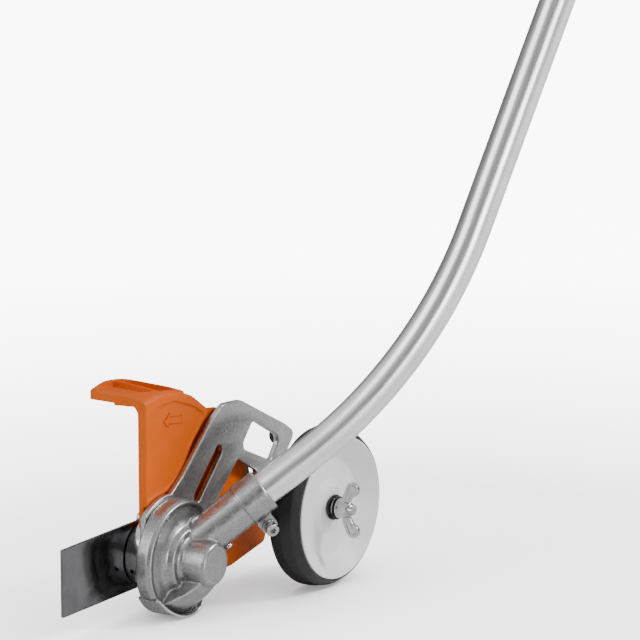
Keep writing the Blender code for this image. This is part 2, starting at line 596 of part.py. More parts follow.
def build_wheel(frames, mats):
    wheel = frames["wheel"]
    disc = [(7.4, 86), (11, 86), (13, 84), (35, 84), (51.4, 94), (53.4, 94),
            (53.4, 91.6), (52, 91.6), (52, 68.6), (49, 68.6), (49, 88.4), (35, 81),
            (12, 81), (12, 62), (7.4, 62)]
    turned("wheel_disc", disc, mats["wheel"], wheel, 36)
    tyre = [(52.4, 91.3), (53.8, 91.3), (53.8, 93.4), (55.3, 93.2), (59.2, 86),
            (WHEEL_RADIUS, 78), (WHEEL_RADIUS, 73), (57.5, 67.5), (52.4, 66.5)]
    turned("wheel_tyre", tyre, mats["tyre"], wheel, 48)
    ring("wheel_bush", 6.4, 7.1, 62, 86, mats["nylon"], wheel)
    ring("axle_sleeve", 4.4, 6.0, ARM_FRONT + GAP, 87.4, mats["zinc"], wheel)
    turned("axle_bolt", [(0, 39), (6.5, 39), (8.5, 41), (8.5, ARM_BACK - GAP),
                         (4, ARM_BACK - GAP), (4, 105.4), (3.3, 106), (0, 106)],
           mats["zinc"], wheel, 16)
    ring("axle_washer_inner", 4.4, 9.6, 87.7, 89.1, mats["black_steel"], wheel)
    ring("axle_spring_washer", 4.5, 7.6, 89.4, 90.9, mats["steel"], wheel)
    ring("axle_washer_outer", 4.4, 8.8, 91.2, 92.2, mats["black_steel"], wheel)
    nut = turned("wing_nut", [(4.4, 92.5), (7.6, 92.5), (7.6, 93.6), (6.9, 94.4),
                              (6.2, 102.2), (5.4, 103), (4.4, 103)], mats["zinc"], wheel, 16)
    for side, name in ((1, "upper_wing"), (-1, "lower_wing")):
        place = axis_frame(name, (0, WHEEL_Y, WHEEL_Z), (0, side, 0), (1, 0, 0),
                           frames["root"])
        lobe = rounded([(94.6, 5.4), (101.4, 5.4), (105.5, 10.5, 6), (111, 13, 5),
                        (109.5, 22, 6), (101, 21, 6), (97, 12, 8)], 3)
        combine(nut, plate(name + "_lobe", lobe, -1.2, 1.2, None, place), "UNION")


def build_edger():
    for old in list(bpy.data.objects):
        bpy.data.objects.remove(old, do_unlink=True)
    mats = {
        "cast": material("cast_aluminium", (0.62, 0.62, 0.62), 0.42, 1.0),
        "tube": material("drawn_aluminium", (0.80, 0.80, 0.80), 0.28, 1.0),
        "steel": material("turned_steel", (0.55, 0.55, 0.56), 0.22, 1.0),
        "blade": material("blade_steel", (0.38, 0.38, 0.38), 0.16, 1.0),
        "zinc": material("zinc_plate", (0.72, 0.72, 0.72), 0.30, 1.0),
        "bearing": material("bearing_steel", (0.60, 0.60, 0.62), 0.25, 1.0),
        "black_steel": material("blackened_steel", (0.03, 0.03, 0.03), 0.40, 0.8),
        "guard": material("orange_polyamide", (0.90, 0.18, 0.00), 0.45),
        "rubber": material("black_rubber", (0.02, 0.02, 0.02), 0.75),
        "tyre": material("solid_tyre", (0.03, 0.032, 0.035), 0.65),
        "wheel": material("grey_plastic", (0.74, 0.74, 0.75), 0.40),
        "nylon": material("white_nylon", (0.80, 0.79, 0.75), 0.50),
    }
    frames = machine_frames()
    bpy.context.view_layer.update()
    build_housing(frames, mats["cast"])
    build_skid(frames, mats["steel"], mats["zinc"])
    build_spindle_pieces(frames, mats)
    build_gears(frames, mats)
    build_drive_line(frames, mats)
    build_bracket(frames, mats)
    build_guard(frames, mats)
    build_skirt(frames, mats)
    build_wheel(frames, mats)


build_edger()
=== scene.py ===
"""Looks of the curved-shaft lawn edger attachment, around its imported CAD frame.

Each piece is drawn in millimetres in the frame of its own axis, (u, v, w) with w along
that axis, and placed by the joints of the frame. About the spindle and the wheel
(u, v, w) is (y, z, x), counted from the centre of the blade.
"""
import json
import math

import bmesh
import bpy
from mathutils import Matrix, Vector

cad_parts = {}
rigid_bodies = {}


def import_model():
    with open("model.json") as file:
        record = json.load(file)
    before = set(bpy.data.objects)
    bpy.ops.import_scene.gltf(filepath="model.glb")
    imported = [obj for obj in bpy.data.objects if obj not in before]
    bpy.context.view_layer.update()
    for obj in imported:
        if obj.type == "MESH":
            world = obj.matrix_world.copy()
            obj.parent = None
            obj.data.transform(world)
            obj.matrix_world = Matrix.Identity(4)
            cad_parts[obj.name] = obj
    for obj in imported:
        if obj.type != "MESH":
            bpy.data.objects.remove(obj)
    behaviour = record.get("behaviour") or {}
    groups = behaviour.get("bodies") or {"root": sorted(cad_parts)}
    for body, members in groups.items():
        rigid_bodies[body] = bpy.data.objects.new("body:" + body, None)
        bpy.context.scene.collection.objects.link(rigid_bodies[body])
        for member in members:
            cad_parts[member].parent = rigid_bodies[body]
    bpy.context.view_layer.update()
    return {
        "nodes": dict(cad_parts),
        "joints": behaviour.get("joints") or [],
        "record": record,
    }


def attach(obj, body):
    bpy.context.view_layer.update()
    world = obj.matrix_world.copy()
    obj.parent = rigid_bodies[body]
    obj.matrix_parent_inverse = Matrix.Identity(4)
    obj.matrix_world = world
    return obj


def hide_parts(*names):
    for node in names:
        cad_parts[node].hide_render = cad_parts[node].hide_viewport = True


for old in list(bpy.data.objects):
    bpy.data.objects.remove(old, do_unlink=True)
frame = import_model()
JOINTS = {joint["name"]: joint for joint in frame["joints"]}

MM = 0.001
BLADE_CENTRE = Vector(JOINTS["blade_spin"]["pos_m"])
APEX = (Vector(JOINTS["pinion_spin"]["pos_m"]) - BLADE_CENTRE) / MM
INPUT = Vector(JOINTS["pinion_spin"]["axis"]).normalized()
TUBE_TOP = (Vector(JOINTS["drive_shaft_spin"]["pos_m"]) - BLADE_CENTRE) / MM
TUBE_TOP_HEADING = Vector(JOINTS["drive_shaft_spin"]["axis"]).normalized()
WHEEL = (Vector(JOINTS["wheel_spin"]["pos_m"]) - BLADE_CENTRE) / MM

# ------------------------------------------------------------ sizes, in millimetres
BLADE_LENGTH, BLADE_WIDTH, BLADE_THICKNESS = 203.2, 50.8, 2.4
COLLAR_RADIUS = 25.0
DRUM_RADIUS, DRUM_BACK = 43.8, 24.0
SOCKET_RADIUS, CLAMP_RADIUS = 15.5, 16.4
CLAMP_START, SOCKET_END = 61.5, 82.0
CLAMP_SCREW_AT, CLAMP_SCREW_OUT, CLAMP_ROLL = 67.7, 21.5, 18.0
RETAINER_AT = 35.0
TUBE_RADIUS, TUBE_BORE, TUBE_START, TUBE_STRAIGHT = 12.7, 11.2, 50.0, 124.0
BRACKET_BACK, BRACKET_FRONT = 19.0, 23.5
ARM_BACK, ARM_FRONT, AXLE_TRAVEL = 44.0, 49.0, 25.0
GUARD_BACK, GUARD_STRIP, GUARD_FRONT = 11.0, 15.0, 18.3
GUARD_RADIUS, COVER_RADIUS, COVER_WALL = 122.0, 124.0, 6.8
SCREW_CIRCLE, RIVET_CIRCLE = 34.5, 116.0
GUARD_SCREWS = {"guard_screw_1": 116.0, "guard_screw_2": 66.0, "guard_screw_3": -12.0}
BRACKET_SCREWS = {"bracket_screw_1": -40.0, "bracket_screw_2": -105.0}
SKIRT_RIVETS = {"skirt_rivet_1": 32.0, "skirt_rivet_2": 9.0}
SKID_SCREWS = {"skid_screw_1": 26.0, "skid_screw_2": 34.0}
SCREW_HOLE, RIVET_HOLE = 2.8, 2.3
SKID_SCREW_ANGLE, SKID_RADIUS, SKID_SHEET = 27.0, 42.5, 2.0
SKID_FRONT_ANGLE, SKID_REAR_ANGLE = -56, 33
BUFFER_PLACE = (153.8, 57.4)
UV_UNIT = 100.0
SMOOTH_ANGLE = 32.0


# ------------------------------------------------------------ frames and outlines
def axes(origin, along=(1, 0, 0), first=(0, 1, 0)):
    """Matrix from a local frame in millimetres to the part's frame in metres."""
    w = Vector(along).normalized()
    u = Vector(first)
    u = (u - w * u.dot(w)).normalized()
    turn = Matrix((u, w.cross(u), w)).transposed().to_4x4()
    place = BLADE_CENTRE + Vector(origin) * MM
    return Matrix.Translation(place) @ turn @ Matrix.Scale(MM, 4)


def lug_direction():
    """The clamp's lug hangs below the tube, rolled a little about it."""
    below = Vector((0, 0, -1)) + INPUT * INPUT.z
    return Matrix.Rotation(math.radians(CLAMP_ROLL), 3, INPUT) @ below.normalized()


LUG = lug_direction()
ACROSS = LUG.cross(INPUT)
SPINDLE = axes((0, 0, 0))
ROOT = axes((0, 0, 0), (0, 0, 1), (1, 0, 0))
INLET = axes(APEX, INPUT, LUG)
CLAMP = axes(APEX + INPUT * CLAMP_SCREW_AT + LUG * CLAMP_SCREW_OUT, ACROSS, LUG)
RETAINER = axes(APEX + INPUT * RETAINER_AT, LUG * 0.82 + ACROSS * 0.57, INPUT)
HUB = axes((0, WHEEL.y, WHEEL.z))


def polar(radius, degrees):
    """The (u, v) point at a radius and an angle."""
    return (radius * math.cos(math.radians(degrees)),
            radius * math.sin(math.radians(degrees)))


def spindle_parallel(angle, radius=SCREW_CIRCLE):
    """A frame parallel to the spindle, for a screw or a hole on a circle about it."""
    return axes((0, *polar(radius, angle)))


def arc(radius, start, end, steps, centre=(0.0, 0.0)):
    """Points on an arc, both of its ends included."""
    points = [polar(radius, start + (end - start) * i / steps) for i in range(steps + 1)]
    return [(centre[0] + u, centre[1] + v) for u, v in points]


def circle(radius, centre=(0.0, 0.0), steps=48):
    """A closed outline: its first point isn't given again at the end."""
    return arc(radius, 0.0, 360.0, steps, centre)[:-1]


def rounded(corners, steps=6):
    """An outline through (u, v) or (u, v, radius) corners, with arcs at the latter."""
    points = []
    for i, corner in enumerate(corners):
        here = Vector(corner[:2])
        if len(corner) == 2:
            points.append(tuple(here))
            continue
        back = (Vector(corners[i - 1][:2]) - here).normalized()
        ahead = (Vector(corners[(i + 1) % len(corners)][:2]) - here).normalized()
        half = back.angle(ahead) / 2.0
        middle = here + (back + ahead).normalized() * corner[2] / math.sin(half)
        first = here + back * corner[2] / math.tan(half) - middle
        last = here + ahead * corner[2] / math.tan(half) - middle
        for step in range(steps + 1):
            spoke = first.lerp(last, step / steps).normalized() * corner[2]
            points.append(tuple(middle + spoke))
    return points


def slot_outline(start, end, width, steps=12):
    """A slot with round ends about two centres."""
    heading = math.degrees(math.atan2(end[1] - start[1], end[0] - start[0]))
    return (arc(width / 2, heading - 90, heading + 90, steps, end)
            + arc(width / 2, heading + 90, heading + 270, steps, start))


# ------------------------------------------------------------ mesh building
def add_object(name, mesh, smooth=SMOOTH_ANGLE):
    """Put a mesh in the scene, shaded smooth except at edges over an angle."""
    piece = bpy.data.objects.new(name, mesh)
    bpy.context.scene.collection.objects.link(piece)
    mesh.shade_smooth()
    mesh.set_sharp_from_angle(angle=math.radians(smooth))
    return piece


def body(name, shape, place, smooth=SMOOTH_ANGLE):
    """A bmesh drawn in millimetres becomes an object in the part's frame."""
    bmesh.ops.recalc_face_normals(shape, faces=shape.faces)
    if shape.calc_volume(signed=True) < 0:
        bmesh.ops.reverse_faces(shape, faces=shape.faces)
    shape.transform(place)
    mesh = bpy.data.meshes.new(name)
    shape.to_mesh(mesh)
    shape.free()
    return add_object(name, mesh, smooth)


def lathe(name, outline, place, steps=96, smooth=SMOOTH_ANGLE):
    """Turn a closed (radius, w) outline about the frame's axis, with u round and v along."""
    shape = bmesh.new()
    sheet = shape.loops.layers.uv.new("UVMap")
    run = [0.0]
    for near, far in zip(outline, outline[1:] + outline[:1]):
        run.append(run[-1] + math.dist(near, far))
    rings = []
    for radius, w in outline:
        if radius < 1e-6:
            rings.append([shape.verts.new((0, 0, w))] * steps)
            continue
        turns = [math.tau * i / steps for i in range(steps)]
        rings.append([shape.verts.new((radius * math.cos(a), radius * math.sin(a), w))
                      for a in turns])
    for k, ring in enumerate(rings):
        beyond = rings[(k + 1) % len(rings)]
        if ring[0] is ring[1] and beyond[0] is beyond[1]:
            continue
        for i in range(steps):
            j = (i + 1) % steps
            corners = [(ring[i], i, run[k]), (ring[j], i + 1, run[k]),
                       (beyond[j], i + 1, run[k + 1]), (beyond[i], i, run[k + 1])]
            if ring[0] is ring[1]:
                corners.pop(1)
            elif beyond[0] is beyond[1]:
                corners.pop(2)
            face = shape.faces.new([corner[0] for corner in corners])
            for loop, (_, turn, distance) in zip(face.loops, corners):
                loop[sheet].uv = (turn / steps, distance / UV_UNIT)
    return body(name, shape, place, smooth)


def plate(name, loops, low, high, place, bevel=0.5, smooth=SMOOTH_ANGLE):
    """An outline with holes, given its thickness and a rounded edge all round."""
    curve = bpy.data.curves.new(name, "CURVE")
    curve.dimensions = "2D"
    curve.fill_mode = "BOTH"
    curve.extrude = (high - low) / 2 - bevel
    curve.bevel_depth = bevel
    curve.bevel_resolution = 2
    curve.offset = -bevel
    for loop in loops:
        spline = curve.splines.new("POLY")
        spline.points.add(len(loop) - 1)
        for point, (u, v) in zip(spline.points, loop):
            point.co = (u, v, 0, 1)
        spline.use_cyclic_u = True
    holder = bpy.data.objects.new(name, curve)
    bpy.context.scene.collection.objects.link(holder)
    bpy.context.view_layer.update()
    graph = bpy.context.evaluated_depsgraph_get()
    flat = bpy.data.meshes.new_from_object(holder.evaluated_get(graph))
    bpy.data.objects.remove(holder)
    shape = bmesh.new()
    shape.from_mesh(flat)
    bmesh.ops.remove_doubles(shape, verts=shape.verts, dist=0.0005)
    bmesh.ops.translate(shape, verts=shape.verts, vec=(0, 0, (high + low) / 2))
    return body(name, shape, place, smooth)


def prism(name, outline, low, high, place):
    """A sharp-edged solid from one outline, for cutting and joining."""
    shape = bmesh.new()
    face = shape.faces.new([shape.verts.new((u, v, low)) for u, v in outline])
    lifted = bmesh.ops.extrude_face_region(shape, geom=[face])["geom"]
    top = [item for item in lifted if isinstance(item, bmesh.types.BMVert)]
    bmesh.ops.translate(shape, verts=top, vec=(0, 0, high - low))
    bmesh.ops.triangulate(shape, faces=[f for f in shape.faces if len(f.verts) > 4])
    return body(name, shape, place)


def skin(name, sections, place, closed=False, smooth=SMOOTH_ANGLE):
    """Bridge matching loops of (u, v, w) points into one closed body."""
    shape = bmesh.new()
    sheet = shape.loops.layers.uv.new("UVMap")
    loops = [[shape.verts.new(point) for point in section] for section in sections]
    runs = [0.0]
    for near, far in zip(sections, sections[1:] + sections[:1]):
        runs.append(runs[-1] + math.dist(near[0], far[0]))
    joins = list(zip(loops, loops[1:])) + ([(loops[-1], loops[0])] if closed else [])
    for k, (near, far) in enumerate(joins):
        for i in range(len(near)):
            j = (i + 1) % len(near)
            face = shape.faces.new((near[i], near[j], far[j], far[i]))
            places = ((i, k), (i + 1, k), (i + 1, k + 1), (i, k + 1))
            for loop, (turn, step) in zip(face.loops, places):
                loop[sheet].uv = (turn / len(near), runs[step] / UV_UNIT)
    if not closed:
        shape.faces.new(loops[0])
        shape.faces.new(loops[-1])
    return body(name, shape, place, smooth)


def settle(piece, smooth=SMOOTH_ANGLE):
    """Apply the modifiers of a piece to its mesh."""
    bpy.context.view_layer.update()
    graph = bpy.context.evaluated_depsgraph_get()
    mesh = bpy.data.meshes.new_from_object(piece.evaluated_get(graph))
    piece.modifiers.clear()
    piece.data = mesh
    mesh.shade_smooth()
    mesh.set_sharp_from_angle(angle=math.radians(smooth))
    return piece


def merge(piece, others, operation="DIFFERENCE", solver="MANIFOLD"):
    """Cut other bodies out of a piece, or join them to it, and remove them."""
    for other in others:
        step = piece.modifiers.new(other.name, "BOOLEAN")
        step.operation = operation
        step.object = other
        step.solver = solver
    settle(piece)
    for other in others:
        bpy.data.objects.remove(other)
    return piece


def melt(piece, voxel, rounds, ratio=1.0):
    """Give a body the soft edges and fillets of a casting or a moulding."""
    step = piece.modifiers.new("melt", "REMESH")
    step.mode = "VOXEL"
    step.voxel_size = voxel * MM
    flow = piece.modifiers.new("flow", "SMOOTH")
    flow.factor = 0.5
    flow.iterations = rounds
    if ratio < 1.0:
        thin = piece.modifiers.new("thin", "DECIMATE")
        thin.ratio = ratio
    return settle(piece, 60.0)


def place_piece(piece, node, paint, ride_on="root"):
    """Ride a piece on its body in place of its CAD node, in its own finish."""
    piece.data.materials.clear()
    piece.data.materials.append(paint)
    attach(piece, ride_on)
    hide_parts(node)
    return piece


# ------------------------------------------------------------ materials
class Paint:
    """A Principled material and the noise that gives it its grain."""

    def __init__(self, name, metallic=0.0):
        self.material = bpy.data.materials.new(name)
        self.material.use_nodes = True
        self.nodes = self.material.node_tree.nodes
        self.links = self.material.node_tree.links
        self.shader = self.nodes["Principled BSDF"]
        self.shader.inputs["Metallic"].default_value = metallic

    def noise(self, stretch, detail=2.0, source="Object"):
        """Noise with so many features in a metre (or a UV unit) along each axis."""
        place = self.nodes.new("ShaderNodeTexCoord")
        scale = self.nodes.new("ShaderNodeVectorMath")
        scale.operation = "MULTIPLY"
        scale.inputs[1].default_value = stretch
        grain = self.nodes.new("ShaderNodeTexNoise")
        grain.inputs["Scale"].default_value = 1.0
        grain.inputs["Detail"].default_value = detail
        self.links.new(place.outputs[source], scale.inputs[0])
        self.links.new(scale.outputs[0], grain.inputs["Vector"])
        return grain.outputs["Fac"]

    def edges(self, grain, share):
        """How convex the surface is, with a share of grain added: painted highlights on edges,
        painted shade in hollows.
        """
        mix = self.nodes.new("ShaderNodeMath")
        mix.operation = "MULTIPLY_ADD"
        mix.inputs[1].default_value = share
        self.links.new(grain, mix.inputs[0])
        convex = self.nodes.new("ShaderNodeNewGeometry").outputs["Pointiness"]
        self.links.new(convex, mix.inputs[2])
        return mix.outputs[0]

    def multiply(self, first, second):
        product = self.nodes.new("ShaderNodeMath")
        product.operation = "MULTIPLY"
        self.links.new(first, product.inputs[0])
        self.links.new(second, product.inputs[1])
        return product.outputs[0]

    def spread(self, value, low, high, start=0.3, end=0.7):
        """Map a value's run from start to end onto low to high."""
        reach = self.nodes.new("ShaderNodeMapRange")
        for socket, number in zip(reach.inputs[1:5], (start, end, low, high)):
            socket.default_value = number
        self.links.new(value, reach.inputs["Value"])
        return reach.outputs["Result"]

    def tint(self, value, dark, light, start=0.3, end=0.7):
        """Vary the colour between two limits."""
        mix = self.nodes.new("ShaderNodeMix")
        mix.data_type = "RGBA"
        mix.inputs["A"].default_value = (*dark, 1.0)
        mix.inputs["B"].default_value = (*light, 1.0)
        self.links.new(self.spread(value, 0.0, 1.0, start, end), mix.inputs["Factor"])
        self.links.new(mix.outputs["Result"], self.shader.inputs["Base Color"])
        return self

    def gloss(self, value, low, high):
        """Vary the roughness between two limits."""
        self.links.new(self.spread(value, low, high), self.shader.inputs["Roughness"])
        return self

    def bump(self, value, strength, depth_mm):
        """Raise the surface by a value, on top of any bump that it has."""
        bump = self.nodes.new("ShaderNodeBump")
        bump.inputs["Strength"].default_value = strength
        bump.inputs["Distance"].default_value = depth_mm * MM
        self.links.new(value, bump.inputs["Height"])
        normal = self.shader.inputs["Normal"]
        if normal.is_linked:
            self.links.new(normal.links[0].from_socket, bump.inputs["Normal"])
        self.links.new(bump.outputs["Normal"], normal)
        return self


def even(features):
    """The same number of features in a metre along each axis."""
    return (features, features, features)


def cast_metal(name, dark, light, painted_edge_light=False):
    """Sandy casting; with the flag set, its hollows are painted dark as painted shade and its
    edges painted bright as painted highlights.
    """
    paint = Paint(name, 1.0)
    grain = paint.noise(even(620), 3.0)
    if painted_edge_light:
        # Painted highlights on convex edges and painted shade in hollows, by pointiness.
        paint.tint(paint.edges(grain, 0.16), dark, light, 0.50, 0.66)
    else:
        paint.tint(paint.noise(even(380), 5.0), dark, light, 0.38, 0.62)
    paint.gloss(paint.noise(even(160), 4.0), 0.28, 0.44)
    paint.bump(grain, 0.5, 0.12).bump(paint.noise(even(90)), 0.25, 0.5)
    return paint.material


def streaked_metal(name, dark, light, gloss, round_count, along_count):
    """Metal with fine marks, counted round the piece and along each 100 mm of it."""
    paint = Paint(name, 1.0)
    marks = paint.noise((round_count, along_count, 1), 3.0, "UV")
    paint.tint(paint.noise(even(40), 2.0), dark, light)
    paint.gloss(marks, *gloss).bump(marks, 0.12, 0.03)
    return paint.material


def polished_blade():
    """Polished steel with fine marks along the blade; its colour is kept dark as a painted
    dark reflection, with random tone.
    """
    paint = Paint("polished_blade_steel", 1.0)
    marks = paint.noise((900, 30, 900), 2.0)
    # Dark colour: a painted dark reflection on the polished face, varied by random tone.
    paint.tint(paint.noise(even(35), 3.0), (0.10, 0.10, 0.105), (0.18, 0.18, 0.185))
    paint.gloss(paint.noise(even(60), 3.0), 0.14, 0.24).bump(marks, 0.02, 0.005)
    return paint.material


def plain_metal(name, dark, light, low, high):
    """Plated or rolled metal, its roughness between low and high."""
    paint = Paint(name, 1.0)
    paint.tint(paint.noise(even(300), 3.0), dark, light)
    paint.gloss(paint.noise(even(700), 3.0), low, high)
    paint.bump(paint.noise(even(900)), 0.05, 0.02)
    return paint.material


def moulded(name, dark, light, low, high, bump=0.12, specular=0.5):
    """Plastic or rubber, its roughness between low and high."""
    paint = Paint(name)
    paint.shader.inputs["Specular IOR Level"].default_value = specular
    paint.tint(paint.noise(even(45), 3.0), dark, light)
    paint.gloss(paint.noise(even(350), 3.0), low, high)
    paint.bump(paint.noise(even(2200), 2.0), bump, 0.05)
    return paint.material


def make_paints():
    """The finish of each kind of piece."""
    return {
        # The housing's colour carries painted edge highlights and painted shade in its
        # hollows.
        "housing": cast_metal("cast_aluminium_housing", (0.15,) * 3, (0.50,) * 3, painted_edge_light=True),
        "bracket": cast_metal("cast_aluminium_bracket", (0.40,) * 3, (0.50,) * 3),
        "tube": streaked_metal("drawn_aluminium", (0.84, 0.84, 0.85), (0.93, 0.93, 0.94),
                               (0.22, 0.32), 40, 3),
        "turned": streaked_metal("turned_steel", (0.56, 0.56, 0.57), (0.68, 0.68, 0.69),
                                 (0.10, 0.24), 2, 500),
        "blade": polished_blade(),
        "skid": plain_metal("skid_steel", (0.55,) * 3, (0.70,) * 3, 0.22, 0.36),
        "zinc": plain_metal("zinc_plate", (0.38, 0.38, 0.37), (0.52, 0.52, 0.52), 0.14, 0.26),
        "bearing": plain_metal("bearing_steel", (0.55,) * 3, (0.62,) * 3, 0.18, 0.26),
        "black": plain_metal("blackened_steel", (0.02,) * 3, (0.05,) * 3, 0.30, 0.45),
        "guard": moulded("orange_polyamide", (0.68, 0.108, 0.0), (0.76, 0.122, 0.0),
                         0.46, 0.56, specular=0.2),
        "rubber": moulded("black_rubber", (0.010,) * 3, (0.022,) * 3, 0.60, 0.75, 0.3),
        "tyre": moulded("solid_tyre", (0.006, 0.0065, 0.007), (0.012, 0.0125, 0.014),
                        0.40, 0.55, 0.25),
        "wheel": moulded("silver_grey_plastic", (0.80, 0.80, 0.81), (0.86, 0.86, 0.87),
                         0.34, 0.44, 0.08),
        "nylon": moulded("white_nylon", (0.72, 0.71, 0.67), (0.80, 0.79, 0.75), 0.4, 0.5),
    }


# ------------------------------------------------------------ gearbox
def rough_housing():
    """Drum, boss, socket, lug and fairing before the fillets."""
    drum = rounded([(0, DRUM_BACK), (DRUM_RADIUS, DRUM_BACK, 0.6),
                    (DRUM_RADIUS, 33.6, 1.4), (42.0, 37.2, 1.0), (38.4, 35.4, 3),
                    (29.5, 36.8, 8), (25.2, 39.2, 2), (23.2, 43.8, 1.8), (18.8, 43.8, 1.4),
                    (16.9, 46.4, 1.2), (16.4, 61.5, 20), (15.6, 66, 2.6), (0, 66)])
    housing = lathe("housing_casting", drum, SPINDLE, 128)
    socket = rounded([(0, 5), (SOCKET_RADIUS, 5), (SOCKET_RADIUS, CLAMP_START - 0.1),
                      (CLAMP_RADIUS, CLAMP_START + 0.5), (CLAMP_RADIUS, SOCKET_END, 1.2),
                      (0, SOCKET_END)])
    ears = prism("ears", arc(6.5, -90, 90, 24) + [(-9, 6.5), (-9, -6.5)], -11, 11, CLAMP)
    profile = [(13, 36), (40.6, 36), (36, 43), (29, 51), (21.5, 58), (13, 61)]
    fairing = skin("fairing", [
        [(*polar(radius, angle), w) for radius, w in profile]
        for angle in range(-134, -43, 6)], SPINDLE)
    merge(housing, [lathe("socket", socket, INLET, 96), ears, fairing], "UNION")
    seat = arc(50, -149, -53, 30) + arc(SKID_RADIUS - SKID_SHEET, -53, -149, 30)
    return merge(housing, [prism("seat", seat, 15, 50, SPINDLE)])


def build_housing(paints):
    """The filleted casting, with its bores, screw holes, clamp slit and name panel cut."""
    housing = melt(rough_housing(), 0.65, 5)
    cuts = [
        lathe("spindle_bore", [(0, 18), (17.4, 18), (17.4, 24.4), (14.3, 24.4), (14.3, 33.6),
                               (13.7, 33.6), (13.7, 53.2), (11.3, 53.2), (11.3, 61.4),
                               (0, 61.4)], SPINDLE, 64),
        lathe("pinion_room", [(0, 13.4), (7.4, 13.4), (10.4, 20.9), (10.4, 23), (13.3, 23),
                              (13.3, 84), (0, 84)], INLET, 62),
        lathe("joint_line", [(14.9, CLAMP_START - 0.3), (18, CLAMP_START - 0.3),
                             (18, CLAMP_START + 0.3), (14.9, CLAMP_START + 0.3)], INLET, 64),
        prism("slit", [(-16, -6.9), (9, -6.9), (9, 16), (-16, 16)], -0.9, 0.9, CLAMP),
        lathe("clamp_hole", [(0, -12), (3.3, -12), (3.3, 12), (0, 12)], CLAMP, 32),
        lathe("retainer_hole", [(0, 10), (2.4, 10), (2.4, 18), (0, 18)], RETAINER, 32),
    ]
    side = Vector((-0.06, -0.705, 0.707))
    panel = axes(APEX + INPUT * 40.0 + side * 16.6, side, INPUT)
    cuts.append(prism("name_panel", rounded([(-14, -4.2, 1), (15, -4.2, 1), (15, 4.2, 1),
                                             (-14, 4.2, 1)]), -1.6, 3, panel))
    for angle in (*GUARD_SCREWS.values(), *BRACKET_SCREWS.values()):
        cuts.append(lathe("tapping", [(0, 20), (SCREW_HOLE, 20), (SCREW_HOLE, 31), (0, 31)],
                          spindle_parallel(angle), 24))
    merge(housing, cuts)
    mark = lathe("cast_mark", rounded([(0, 34), (1.9, 34), (1.9, 37.1, 0.4), (1.0, 37.1, 0.2),
                                       (1.0, 36.7), (0, 36.7)]), axes((0, -18.7, 35.0)), 32)
    merge(housing, [mark], "UNION")
    place_piece(settle(housing, 40.0), "gearbox_housing", paints["housing"])


def skid_reach(angle):
    """The skid's outer edge along the spindle, by degrees behind its lowest point."""
    stops = [(SKID_FRONT_ANGLE, 36.5), (-53.5, 39.5), (-30, 43.0), (-17, 45.0), (0, 45.0),
             (18, 43.4), (27, 41.5), (SKID_REAR_ANGLE, 35.0)]
    for (start, low), (end, high) in zip(stops, stops[1:]):
        if angle <= end:
            return low + (high - low) * (angle - start) / (end - start)
    return stops[-1][1]


def build_skid(paints):
    """A curved sheet under the drum, with two screws in its rear."""
    inner, outer, near, edge = SKID_RADIUS - SKID_SHEET, SKID_RADIUS, 20.0, 0.6
    sections = []
    for angle in range(SKID_FRONT_ANGLE, SKID_REAR_ANGLE + 1):
        far = skid_reach(angle)
        outline = [(inner + edge, near), (outer - edge, near), (outer, near + edge),
                   (outer, far - edge), (outer - edge, far), (inner + edge, far),
                   (inner, far - edge), (inner, near + edge)]
        sections.append([(*polar(radius, angle - 90), w) for radius, w in outline])
    skid = skin("skid_plate", sections, SPINDLE, smooth=50.0)
    tilt = math.radians(SKID_SCREW_ANGLE)
    for node, w in SKID_SCREWS.items():
        place = axes((w, 0, 0), (0, math.sin(tilt), -math.cos(tilt)), (1, 0, 0))
        merge(skid, [lathe("clearance", [(0, 38), (2.6, 38), (2.6, 46), (0, 46)], place, 24)],
              solver="EXACT")
        star_screw(node, place, 34.5, SKID_RADIUS, 2.0, 3.6, 1.7, paints["zinc"])
    place_piece(skid, "skid_shoe", paints["skid"])


def star_screw(node, place, tip, seat, radius, head, height, paint, washer=0.0):
    """A button-headed screw with a six-lobed recess, its head outside the seat."""
    side = 1.0 if seat > tip else -1.0
    neck = seat + side * 0.3
    ring, under_head = [], neck
    if washer:
        under_head = neck + side * (washer + 0.4)
        ring = [(head + 0.7, neck, 0.2), (head + 0.7, neck + side * washer, 0.2),
                (radius + 0.6, neck + side * (washer + 0.05)),
                (radius + 0.6, neck + side * (washer + 0.35))]
    top = under_head + side * height
    outline = rounded([(0, tip), (radius - 0.4, tip), (radius, tip + side * 0.4),
                       (radius, neck)] + ring
                      + [(head, under_head, 0.15), (head, top, 0.9), (0, top)])
    screw = lathe(node + "_body", outline, place, 48)
    lobes = [polar(head * (0.46 + 0.07 * math.cos(math.radians(6 * a))), a)
             for a in range(0, 360, 6)]
    low, high = sorted((top - side * height * 0.55, top + side))
    merge(screw, [prism("star", lobes, low, high, place)], solver="EXACT")
    return place_piece(screw, node, paint)


# ------------------------------------------------------------ wheel bracket
def bracket_outline():
    """Two rings about the spindle, the lower one smaller in front, then the plate."""
    lower_ring = arc(39.6, -14, -140, 48) + arc(36.0, -155, -212, 20)
    upper_ring = arc(46.5, 130, 84, 20)
    plate_edge = rounded([upper_ring[-1], (20, 56.5, 30), (58, 90, 30), (74, 99.5, 10),
                          (97, 97.5, 14), (157, 66, 14), (170, 57, 5), (141, 24, 10),
                          (112, 8, 20), lower_ring[0]], 10)
    return lower_ring + upper_ring + plate_edge[1:-1]


